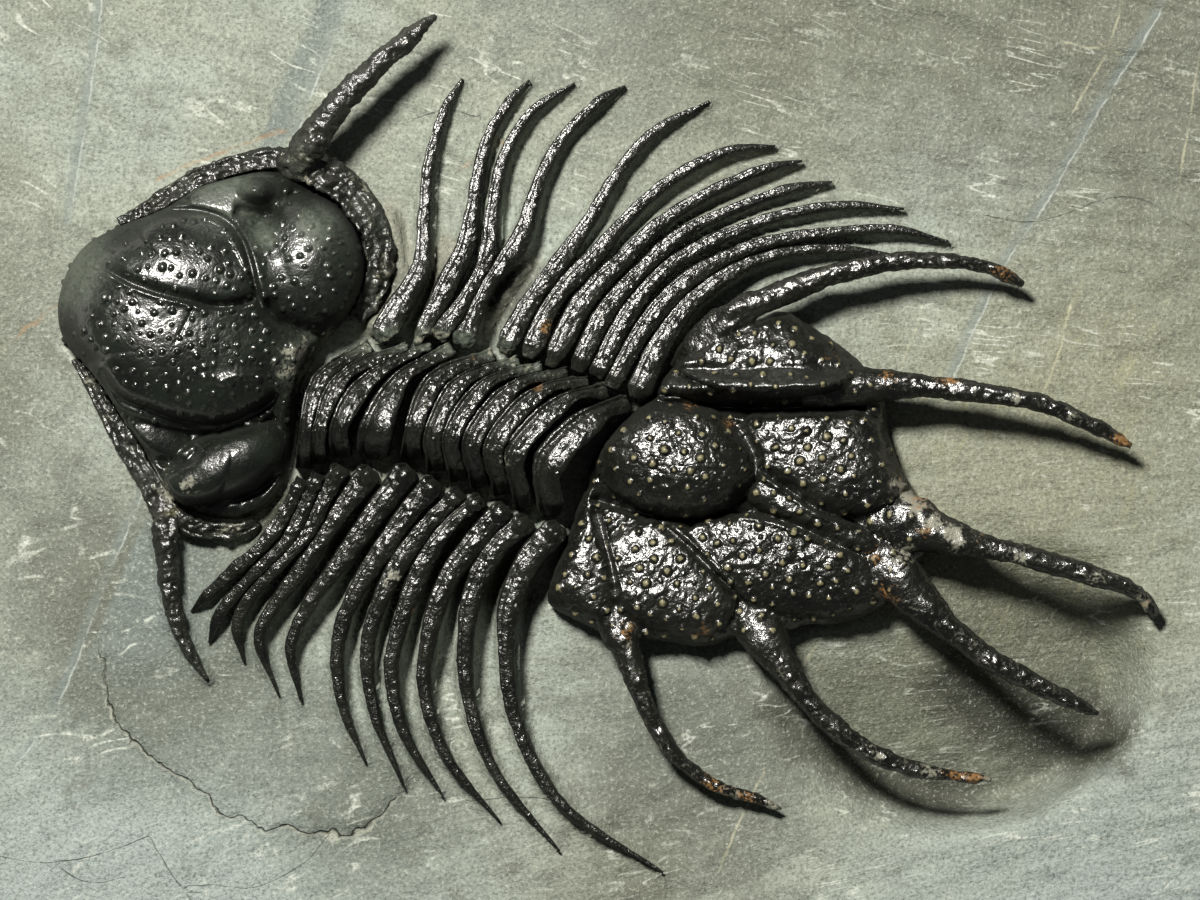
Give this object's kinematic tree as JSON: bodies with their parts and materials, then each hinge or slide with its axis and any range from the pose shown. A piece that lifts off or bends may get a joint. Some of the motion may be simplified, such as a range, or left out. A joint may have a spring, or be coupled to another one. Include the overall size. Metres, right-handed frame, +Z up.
{
  "type": "acanthopyge trilobite fossil",
  "caption": "Spiny black trilobite fossil standing out of a flat-based limestone slab, with swollen head, ribbed thorax and long curved spines.",
  "frame": {"origin": "middle of the slab's sawn base", "axes": "+X from the head to the tail, +Y to the animal's left, +Z up out of the slab's base"},
  "size_m": [0.0959, 0.075, 0.0264],
  "materials": {
    "limestone": "matt greenish-grey limestone, prepared by air tools, with pale veins and scratches",
    "head_shell": "glossy black calcite shell with a green-grey cast and pale-tipped granules",
    "thorax_shell": "glossy black calcite shell, finely grained and ridged",
    "tail_shell": "very glossy black calcite shell with tan-tipped granules and rusty spine tips"
  },
  "bodies": {
    "root": {"matrix": "limestone", "cranidium": "head_shell", "free_cheek_left": "head_shell", "free_cheek_right": "head_shell", "thoracic_segment_01": "thorax_shell", "thoracic_segment_02": "thorax_shell", "thoracic_segment_03": "thorax_shell", "thoracic_segment_04": "thorax_shell", "thoracic_segment_05": "thorax_shell", "thoracic_segment_06": "thorax_shell", "thoracic_segment_07": "thorax_shell", "thoracic_segment_08": "thorax_shell", "thoracic_segment_09": "thorax_shell", "thoracic_segment_10": "thorax_shell", "thoracic_segment_11": "thorax_shell", "pygidium": "tail_shell"}
  },
  "joints": []
}
